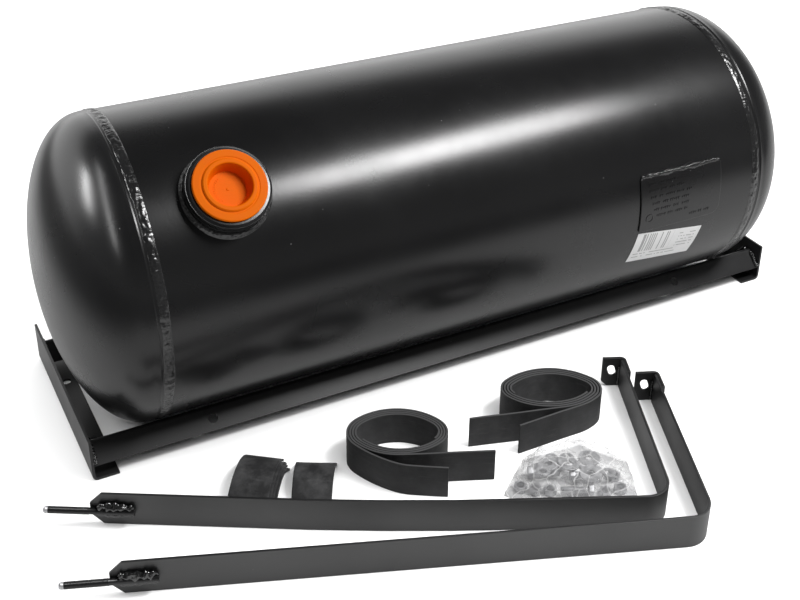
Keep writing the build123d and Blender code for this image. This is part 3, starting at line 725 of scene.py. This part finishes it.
class GASTANK_OT_neck(Maker):
    """Makes the grooved neck ring and the fillet round its foot"""
    bl_idname = "gastank.neck"
    bl_label = "Neck"

    def make(self, sizes, kit, colours):
        place = neck_place(sizes)
        foot, top = TANK_RADIUS - 14 * MM, TANK_RADIUS + sizes.neck_height
        depth, half, slope, chamfer = 2 * MM, 1.5 * MM, 0.5 * MM, 3 * MM
        profile = [(sizes.neck_bore, foot), (NECK_RADIUS, foot)]
        for groove in (8.55 * MM, 15.2 * MM):
            low, high = TANK_RADIUS + groove - half, TANK_RADIUS + groove + half
            profile += [(NECK_RADIUS, low), (NECK_RADIUS - depth, low + slope),
                        (NECK_RADIUS - depth, high - slope), (NECK_RADIUS, high)]
        profile += [(NECK_RADIUS, top - chamfer), (NECK_RADIUS - chamfer, top), (sizes.neck_bore, top)]
        bm = turned(profile, 96)
        soften(bm, 0.5 * MM, segments=3, angle=25)
        bm.transform(place)
        ring = piece("neck_collar", bm, "tank", ["painted ring"], ("neck_ring",))
        holes = []
        for k in range(6):
            hole = bmesh.new()
            spot = Matrix.Rotation(k * tau / 6, 4, "Z") @ Matrix.Translation((SCREW_CIRCLE, 0, top))
            bmesh.ops.create_cone(hole, cap_ends=True, segments=20, radius1=SCREW_HOLE,
                                  radius2=SCREW_HOLE, depth=24 * MM, matrix=place @ spot)
            holes.append(hole)
        cut_away(ring, joined(holes))
        leg, across, margin, sink = sizes.neck_weld_leg, 9, 0.3 * MM, 2.5 * MM
        inner, outer = NECK_RADIUS - margin, NECK_RADIUS + leg + margin
        profile = [(inner + (outer - inner) * k / across, 0.0) for k in range(across + 1)]
        profile += [(outer, -sink), (inner, -sink)]
        bm = turned(profile, 260)
        for vert in bm.verts:
            x, y, z = vert.co
            reach = sqrt(x * x + y * y)
            share = min(1.0, max(0.0, (reach - NECK_RADIUS) / leg))
            angle = atan2(y, x)
            lift = 0.0
            if z > -sink / 2:
                wander = noise.noise(Vector((x * 60, y * 60, 2.0)))
                ripple = sin(angle * 70 + 2.2 * share ** 2 + 5 * wander)
                blob = noise.noise(Vector((x * 230, y * 230, share * 3)))
                lift = leg * 0.92 * (1 - share ** 1.3) - margin * share
                lift += (0.35 * ripple + 0.9 * blob) * (1 - share ** 3) * MM
            vert.co.z = sqrt(TANK_RADIUS ** 2 - y * y) + z + lift
        face_outward(bm)
        bm.transform(place)
        piece("neck_fillet", bm, "tank", ["painted girth weld"], ("neck_weld",))


class GASTANK_OT_plug(Maker):
    """Makes the moulded transport plug"""
    bl_idname = "gastank.plug"
    bl_label = "Transport Plug"

    def make(self, sizes, kit, colours):
        rim, spigot = NECK_RADIUS - 6 * MM, sizes.neck_bore - 0.3 * MM
        face, mouth, floor = 3.8 * MM, 5.4 * MM, -9.6 * MM
        foot, below_face, below_floor = -17.7 * MM, -0.6 * MM, -11.6 * MM
        finger = [(0.0, floor + 0.6 * MM), (1.3 * MM, floor + 0.6 * MM), (1.5 * MM, floor),
                  (20 * MM, floor), (24 * MM, mouth - 0.6 * MM), (25 * MM, mouth)]
        collar = [(28.2 * MM, mouth), (29.6 * MM, mouth - 1.2 * MM), (29.8 * MM, face - 0.5 * MM),
                  (31.4 * MM, face - 0.5 * MM), (31.8 * MM, face)]
        flange = [(rim - 1 * MM, face), (rim, face - 1 * MM), (rim, 1.2 * MM),
                  (rim - 0.9 * MM, 0.3 * MM), (spigot, 0.3 * MM)]
        inside = [(spigot, foot + 0.7 * MM), (spigot - 0.7 * MM, foot), (27.7 * MM, foot),
                  (27.7 * MM, below_face), (26 * MM, below_face), (24 * MM, below_floor),
                  (0.0, below_floor)]
        profile = finger + collar + flange + inside
        bm = turned(profile, 128, closed=False)
        soften(bm, 0.35 * MM, segments=3, angle=24)
        marks = []
        for k in range(13):
            turn = radians(118 + k * 9.5)
            mark = bmesh.new()
            spot = Matrix.Rotation(turn, 4, "Z") @ Matrix.Translation((14.6 * MM, 0, floor))
            bmesh.ops.create_cube(mark, size=1.0, matrix=spot @ Matrix.Diagonal(
                (2.6 * MM if k % 3 else 1.6 * MM, 0.8 * MM, 0.7 * MM, 1)))
            soften(mark, 0.12 * MM)
            marks.append(mark)
        bm = joined([bm, *marks])
        neck_top = Matrix.Translation((0, 0, TANK_RADIUS + sizes.neck_height))
        bm.transform(neck_place(sizes) @ neck_top)
        piece("orange_plug", bm, "plug", ["orange plastic"], ("transport_plug",),
              sharp=50, even=True)


class GASTANK_OT_plate(Maker):
    """Makes the curved data plate, its raised marks and its weld"""
    bl_idname = "gastank.plate"
    bl_label = "Data Plate"

    def make(self, sizes, kit, colours):
        outer = TANK_RADIUS + 2.7 * MM
        low = asin((PLATE_LOW.z - AXIS_HEIGHT) / outer) * TANK_RADIUS
        high = asin((PLATE_HIGH.z - AXIS_HEIGHT) / outer) * TANK_RADIUS
        left, right = PLATE_LOW.x, PLATE_HIGH.x
        high -= sizes.plate_drop
        thick, clip = 2 * MM, 8 * MM
        bm = bmesh.new()
        outline = [(left, low), (right - clip, low), (right, low + clip), (right, high), (left, high)]
        foot = bm.faces.new([bm.verts.new((x, s, 0.0)) for x, s in outline])
        up = bmesh.ops.extrude_face_region(bm, geom=[foot])["geom"]
        bmesh.ops.translate(bm, verts=[v for v in up if isinstance(v, bmesh.types.BMVert)],
                            vec=(0, 0, thick))
        face_outward(bm)
        upright = [e for e in bm.edges if abs(e.verts[0].co.z - e.verts[1].co.z) > 1 * MM]
        bmesh.ops.bevel(bm, geom=upright, offset=2.5 * MM, offset_type="OFFSET", affect="EDGES",
                        segments=4, profile=0.5, material=-1)
        soften(bm, 1.1 * MM, segments=3, angle=60)
        sliced(bm, (0, 1, 0), 4 * MM)
        parts = [bm]
        rows = ((0.14, (9, 4, 6), 0.62), (0.27, (12, 7, 9, 5), 0.2), (0.39, (6, 14, 8, 11), 0.16),
                (0.51, (11, 6, 13, 9), 0.14), (0.63, (8, 5, 12, 10, 7), 0.12),
                (0.75, (13, 8, 6, 9), 0.1), (0.87, (10, 6, 12), 0.1))
        for share, widths, start in rows:
            x = left + (right - left) * start
            for width in widths:
                for k in range(width // 3 + 1):
                    mark = bmesh.new()
                    tall = (3.4 if (k + width) % 3 else 2.0) * MM
                    bmesh.ops.create_cube(mark, size=1.0, matrix=Matrix.Translation(
                        (x + (3 * k + 1.1) * MM, low + (high - low) * share, thick))
                        @ Matrix.Diagonal((2.1 * MM, tall, 1.3 * MM, 1)))
                    soften(mark, 0.35 * MM)
                    parts.append(mark)
                x += (width + 5) * MM
        sunk, raised = thick - 0.4 * MM, thick + 0.5 * MM
        ring = turned([(4.2 * MM, sunk), (4.2 * MM, raised), (5.6 * MM, raised), (5.6 * MM, sunk)], 32)
        soften(ring, 0.25 * MM)
        ring.transform(Matrix.Translation((left + 14 * MM, low + (high - low) * 0.25, 0)))
        parts.append(ring)
        bm = joined(parts)
        on_tank(bm)
        piece("stamped_plate", bm, "tank", ["tank powder coat"], ("data_plate",),
              sharp=40, even=True)
        over_edge, over_shell, inset, radius = 1.6 * MM, 0.9 * MM, 1 * MM, 3.1 * MM
        angle = (high + over_edge) / TANK_RADIUS
        reach = TANK_RADIUS + over_shell
        line = Vector((0, -reach * cos(angle), AXIS_HEIGHT + reach * sin(angle)))
        weld = bead(line + Vector((left + inset, 0, 0)), line + Vector((right - inset, 0, 0)),
                    radius, 11.0, lump=0.6, pitch=4.5 * MM)
        piece("plate_bead", weld, "tank", ["painted weld"], ("plate_weld",))


class GASTANK_OT_label(Maker):
    """Makes the paper label"""
    bl_idname = "gastank.label"
    bl_label = "Paper Label"

    def make(self, sizes, kit, colours):
        low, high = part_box("label")
        lift, wave, thick = 0.2 * MM, 0.1 * MM, 0.12 * MM
        angle = sum(asin((end.z - AXIS_HEIGHT) / TANK_RADIUS) for end in (low, high)) / 2
        bm = bmesh.new()
        bmesh.ops.create_grid(bm, x_segments=30, y_segments=16, size=0.5, calc_uvs=True)
        uv = bm.loops.layers.uv.verify()
        for face in bm.faces:
            for loop in face.loops:
                loop[uv].uv = (loop.vert.co.x + 0.5, loop.vert.co.y + 0.5)
        bmesh.ops.scale(bm, vec=(sizes.label_length, sizes.label_height, 1), verts=bm.verts)
        bmesh.ops.rotate(bm, cent=(0, 0, 0), matrix=Matrix.Rotation(sizes.label_tilt, 3, "Z"),
                         verts=bm.verts)
        for vert in bm.verts:
            vert.co.z = lift + wave * noise.noise(vert.co * 60)
        bmesh.ops.translate(bm, vec=((low.x + high.x) / 2, angle * TANK_RADIUS, 0), verts=bm.verts)
        bmesh.ops.solidify(bm, geom=bm.faces[:], thickness=-thick)
        on_tank(bm)
        face_outward(bm)
        piece("paper_label", bm, "tank", ["printed paper"], ("label",), sharp=50)


class GASTANK_OT_cradle(Maker):
    """Makes the cradle's angles and the beads at its corners"""
    bl_idname = "gastank.cradle"
    bl_label = "Cradle"

    def make(self, sizes, kit, colours):
        for name in ("end_angle_left", "end_angle_right", "rail_front", "rail_rear"):
            rounded(name, "_finish", "cradle", "cradle powder coat", kit.edge_round)
        beads = []
        for number, points in enumerate(islands("frame_welds")):
            (start, end), _ = long_axis(points)
            beads.append(bead(start, end, kit.corner_bead, number * 2.7, lump=0.5))
        piece("corner_beads", joined(beads), "cradle", ["painted weld"],
              ("frame_welds",))


class GASTANK_OT_straps(Maker):
    """Makes the two straps with their studs, eyes and welds"""
    bl_idname = "gastank.straps"
    bl_label = "Straps"

    def make(self, sizes, kit, colours):
        for number in (1, 2):
            body = f"strap_{number}"
            for name, material in (("band", "strap coat"), ("eye", "cradle powder coat")):
                rounded(f"strap_{name}_{number}", "_finish", body, material,
                        kit.edge_round)
            (end, tip), _ = long_axis(islands(f"strap_stud_{number}")[0])
            if end.x < tip.x:
                end, tip = tip, end
            span, pitch, chamfer = (tip - end).length, kit.thread_pitch, 1 * MM
            radius, root = THREAD_RADIUS, THREAD_RADIUS - kit.thread_depth
            start = span / 2
            profile = [(0.0, 0.0), (root, 0.0), (root, start)]
            for k in range(int((span - start - chamfer) / pitch)):
                at = start + k * pitch
                profile += [(radius, at + 0.4 * pitch), (radius, at + 0.55 * pitch),
                            (root, at + 0.95 * pitch)]
            profile += [(root, span - 0.9 * chamfer), (radius - chamfer, span), (0.0, span)]
            bm = turned(profile, 24, closed=False)
            for face in bm.faces:
                face.material_index = int(face.calc_center_median().z > span - kit.bare_tip)
            bm.transform(aim(end, tip))
            piece(f"threaded_stud_{number}", bm, body, ["painted thread", "zinc plate"],
                  (f"strap_stud_{number}",), sharp=60)
            beads = []
            for k, points in enumerate(islands(f"stud_weld_{number}")):
                (start, end), _ = long_axis(points)
                upper = points[:, 2].mean() > STRAP_WIDTH / 2
                radius, lump = (kit.upper_bead, 0.7) if upper else (kit.lower_bead, 0.35)
                beads.append(bead(start, end, radius, number * 5.0 + k * 1.7, lump, 8 * MM))
            piece(f"stud_beads_{number}", joined(beads), body, ["painted weld"],
                  (f"stud_weld_{number}",))
            (start, end), _ = long_axis(islands(f"eye_weld_{number}")[0])
            piece(f"eye_bead_{number}", bead(start, end, kit.eye_bead, number * 8.0, lump=0.4),
                  body, ["painted weld"], (f"eye_weld_{number}",))


class GASTANK_OT_rubber(Maker):
    """Makes the wound strips and the curved pads"""
    bl_idname = "gastank.rubber"
    bl_label = "Rubber"

    def make(self, sizes, kit, colours):
        rows = [(f"rubber_strip_{n}", "roll_1" if n < 3 else "roll_2", "strip") for n in range(1, 5)]
        rows += [(f"rubber_pad_{n}", "pad_stack" if n < 5 else "single_pad", "pad") for n in range(1, 6)]
        for name, body, kind in rows:
            bm = cad_copy(name)
            soften(bm, kit.rubber_round, angle=40)
            for way in ((1, 0, 0), (0, 1, 0)):
                sliced(bm, way, 14 * MM)
            for vert in bm.verts:
                spot = Vector((vert.co.x, vert.co.y, 0))
                wave = noise.noise_vector(spot * 16) * kit.rubber_wave
                vert.co.x += wave.x
                vert.co.y += wave.y
            piece(name + "_cut", bm, body, [kind + " rubber"], (name,),
                  sharp=45, even=True)


class GASTANK_OT_fasteners(Maker):
    """Makes the bag and the fasteners in it"""
    bl_idname = "gastank.fasteners"
    bl_label = "Bag of Fasteners"

    def make(self, sizes, kit, colours):
        for name in ("hex_nuts", "washers", "large_washers"):
            rounded(name, "_plated", "fastener_bag", "zinc plate", 0.35 * MM)
        head_radius, head_height, shank_from, thread_from = 7.4 * MM, 5.3 * MM, 3 * MM, 8 * MM
        radius, root, pitch = THREAD_RADIUS, THREAD_RADIUS - kit.thread_depth, kit.thread_pitch
        bolts = []
        for points in islands("hex_bolts"):
            (head, tip), thick = long_axis(points)
            if thick[0] < thick[1]:
                head, tip = tip, head
            span = (tip - head).length
            profile = [(0.0, shank_from), (radius, shank_from), (radius, thread_from)]
            at = thread_from
            while at < span - 2 * MM:
                profile += [(root, at + 0.3 * pitch), (radius, at + 0.7 * pitch)]
                at += pitch
            profile += [(root, span - 0.8 * MM), (radius - 1 * MM, span), (0.0, span)]
            shank = turned(profile, 20, closed=False)
            top = bmesh.new()
            bmesh.ops.create_cone(top, cap_ends=True, segments=6, radius1=head_radius,
                                  radius2=head_radius, depth=head_height,
                                  matrix=Matrix.Translation((0, 0, head_height / 2)))
            soften(top, 0.5 * MM)
            whole = joined([shank, top])
            whole.transform(aim(head, tip))
            bolts.append(whole)
        piece("hex_bolts_plated", joined(bolts), "fastener_bag", ["zinc plate"],
              ("hex_bolts",), sharp=40, even=True)
        self.make_film(kit)

    def make_film(self, kit):
        """Film envelope: the bag's outer shape, crumpled into flat facets."""
        low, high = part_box("bag_film")
        bm = cad_copy("bag_film")
        outer = max(bm.faces, key=lambda f: f.calc_area())
        keep, stack = {outer}, [outer]
        while stack:
            for edge in stack.pop().edges:
                for face in edge.link_faces:
                    if face not in keep:
                        keep.add(face)
                        stack.append(face)
        bmesh.ops.delete(bm, geom=[f for f in bm.faces if f not in keep], context="FACES")
        film = piece("film_bag", bm, "fastener_bag", ["clear film"], ("bag_film",))
        remesh = film.modifiers.new("Even mesh", "REMESH")
        remesh.mode = "VOXEL"
        remesh.voxel_size = 2.2 * MM
        bake(film)
        put_in_order(film)
        for vert in film.data.vertices:
            spot = vert.co.copy()
            rise = (spot.z - low.z) / (high.z - low.z)
            fold = noise.turbulence_vector(spot * 26, 3, False)
            crease = noise.ridged_multi_fractal(spot * 38, 0.9, 2.1, 3, 0.9, 1.6) - 1.0
            shift = Vector((fold.x, fold.y, 0.6 * fold.z)) * kit.crinkle * 0.5 * (0.3 + rise)
            shift.z -= abs(crease) * kit.crinkle * 0.25 * rise
            vert.co = spot + shift
        fewer = film.modifiers.new("Facets", "DECIMATE")
        fewer.ratio = kit.film_facets / max(1, sum(len(p.vertices) - 2 for p in film.data.polygons))
        bake(film)
        for vert in film.data.vertices:
            vert.co = [min(max(at, low[k]), high[k]) for k, at in enumerate(vert.co)]
        for polygon in film.data.polygons:
            polygon.use_smooth = False


class GASTANK_OT_stage(bpy.types.Operator):
    """Makes the floor, the light and the camera"""
    bl_idname = "gastank.stage"
    bl_label = "Stage"
    bl_options = {"REGISTER", "UNDO"}

    def execute(self, context):
        scene = context.scene
        stage = scene.gas_tank_stage
        self.floor(stage, scene.gas_tank_colours)
        self.sky(scene, stage)
        self.softbox("key softbox", (0.62, -0.78, 1.5), (0.0, -0.13, 0.31), (0.78, 0.27, -0.06),
                     (0.74, 0.34), stage.key_power)
        lamp = self.softbox("head lamp", (-1.7, 0.5, 1.11), (-0.44, -0.08, 0.33), (0.54, 0.46, 0.52),
                            (0.62, 0.22), stage.lamp_power)
        strip = self.softbox("head strip", (-1.34, -0.22, 1.36), (-0.42, -0.1, 0.33),
                             (-0.61, -1.08, -0.52), (1.5, 0.13), stage.strip_power)
        lit = bpy.data.collections.new("left head only")
        for name in ("head_left_dished", "girth_weld_left_bead", "end_angle_left_finish"):
            lit.objects.link(bpy.data.objects[name])
        lamp.light_linking.receiver_collection = lit
        strip.light_linking.receiver_collection = lit
        self.camera(scene, stage)
        scene.view_settings.view_transform = "Standard"
        return {"FINISHED"}

    @staticmethod
    def floor(stage, colours):
        bm = bmesh.new()
        bmesh.ops.create_grid(bm, x_segments=1, y_segments=1, size=9.0,
                              matrix=Matrix.Translation((0, 0, -0.4 * MM)))
        mesh = bpy.data.meshes.new("floor")
        bm.to_mesh(mesh)
        bm.free()
        mesh.materials.append(GASTANK_OT_stage.table_material(colours))
        obj = put("floor", mesh)
        lit = bpy.data.collections.new("table only")
        lit.objects.link(obj)
        light = bpy.data.lights.new("table light", "SUN")
        light.energy = stage.table_light
        light.angle = radians(100)
        put("table light", light).light_linking.receiver_collection = lit

    @staticmethod
    def table_material(colours):
        """White where it is looked at; in reflections and bounced light it is a painted reflection:
        about half as bright, and nearly black in front and on the left.
        """
        made, tree, shader, where = new_material("floor", Roughness=0.7, Specular_IOR_Level=0.1)
        spot = node(tree, "SeparateXYZ", None, Vector=where.outputs["Object"])
        front = remap(tree, spot.outputs["Y"], -1.0, -0.66, 0.0, 1.0)
        left = remap(tree, spot.outputs["X"], -1.0, -0.7, 0.0, 1.0)
        seen = tree.nodes.new("ShaderNodeLightPath").outputs["Is Camera Ray"]
        mirrored = mixed(tree, combine(tree, "MULTIPLY", front, left), (0.03, 0.03, 0.03),
                         [0.52 * c for c in colours.floor])
        attach(tree, shader, Base_Color=mixed(tree, seen, mirrored, colours.floor[:]))
        return made

    @staticmethod
    def sky(scene, stage):
        """White wall behind the tank that fades out above it, and dark elsewhere."""
        world = bpy.data.worlds.new("studio")
        scene.world = world
        world.use_nodes = True
        tree = world.node_tree
        where = tree.nodes.new("ShaderNodeTexCoord")
        way = node(tree, "SeparateXYZ", None, Vector=where.outputs["Generated"])
        behind = remap(tree, way.outputs["Y"], 0.34, 0.58, 0.0, stage.backdrop)
        below = remap(tree, way.outputs["Z"], 0.48, 0.68, 1.0, 0.0)
        rest = remap(tree, way.outputs["Z"], 0.0, 0.6, 0.32, 0.07)
        total = combine(tree, "ADD", combine(tree, "MULTIPLY", behind, below), rest)
        tree.links.new(total, tree.nodes["Background"].inputs["Color"])

    @staticmethod
    def softbox(name, spot, target, along, size, power):
        """Area light that looks at the target, with its long side on the given direction."""
        light = bpy.data.lights.new(name, "AREA")
        light.shape = "RECTANGLE"
        light.size, light.size_y = size
        light.energy = power
        back = (Vector(spot) - Vector(target)).normalized()
        side = Vector(along)
        side = (side - back * side.dot(back)).normalized()
        place = Matrix((side, back.cross(side), back)).transposed().to_4x4()
        place.translation = spot
        obj = put(name, light)
        obj.matrix_world = place
        return obj

    @staticmethod
    def camera(scene, stage):
        turn, drop, roll = radians(27.379), radians(27.405), radians(0.342)
        forward = Vector((sin(turn) * cos(drop), cos(turn) * cos(drop), -sin(drop)))
        level = Vector((cos(turn), -sin(turn), 0))
        upright = level.cross(forward)
        right = level * cos(roll) + upright * sin(roll)
        up = right.cross(forward)
        data = bpy.data.cameras.new("camera")
        data.lens = stage.lens
        data.shift_x, data.shift_y = 0.0004, -0.1372
        data.clip_start, data.clip_end = 0.05, 50
        place = Matrix((right, up, -forward)).transposed().to_4x4()
        place.translation = (-0.66395, -1.22479, 0.91277)
        scene.camera = put("camera", data)
        scene.camera.matrix_world = place


MAKERS = (GASTANK_OT_finishes, GASTANK_OT_vessel, GASTANK_OT_girth_welds, GASTANK_OT_neck,
          GASTANK_OT_plug, GASTANK_OT_plate, GASTANK_OT_label, GASTANK_OT_cradle,
          GASTANK_OT_straps, GASTANK_OT_rubber, GASTANK_OT_fasteners, GASTANK_OT_stage)


class GASTANK_PT_panel(bpy.types.Panel):
    """Sidebar panel with the sizes, the colours and the makers"""
    bl_idname = "GASTANK_PT_panel"
    bl_label = "Gas Tank"
    bl_space_type = "VIEW_3D"
    bl_region_type = "UI"
    bl_category = "Gas Tank"

    def draw(self, context):
        for holder in ("gas_tank", "gas_tank_kit", "gas_tank_colours", "gas_tank_stage"):
            box = self.layout.box()
            group = getattr(context.scene, holder)
            for name in type(group).__annotations__:
                box.prop(group, name)
        for maker in MAKERS:
            self.layout.operator(maker.bl_idname)


HOLDERS = {"gas_tank": GasTankSizes, "gas_tank_kit": GasTankKitSizes,
           "gas_tank_colours": GasTankColours, "gas_tank_stage": GasTankStage}


def register():
    for made in (*HOLDERS.values(), *MAKERS, GASTANK_PT_panel):
        bpy.utils.register_class(made)
    for name, group in HOLDERS.items():
        setattr(bpy.types.Scene, name, PointerProperty(type=group))


def unregister():
    for name in HOLDERS:
        delattr(bpy.types.Scene, name)
    for made in reversed((*HOLDERS.values(), *MAKERS, GASTANK_PT_panel)):
        bpy.utils.unregister_class(made)


def main():
    register()
    for maker in MAKERS:
        group, name = maker.bl_idname.split(".")
        getattr(getattr(bpy.ops, group), name)()


if __name__ == "__main__":
    main()
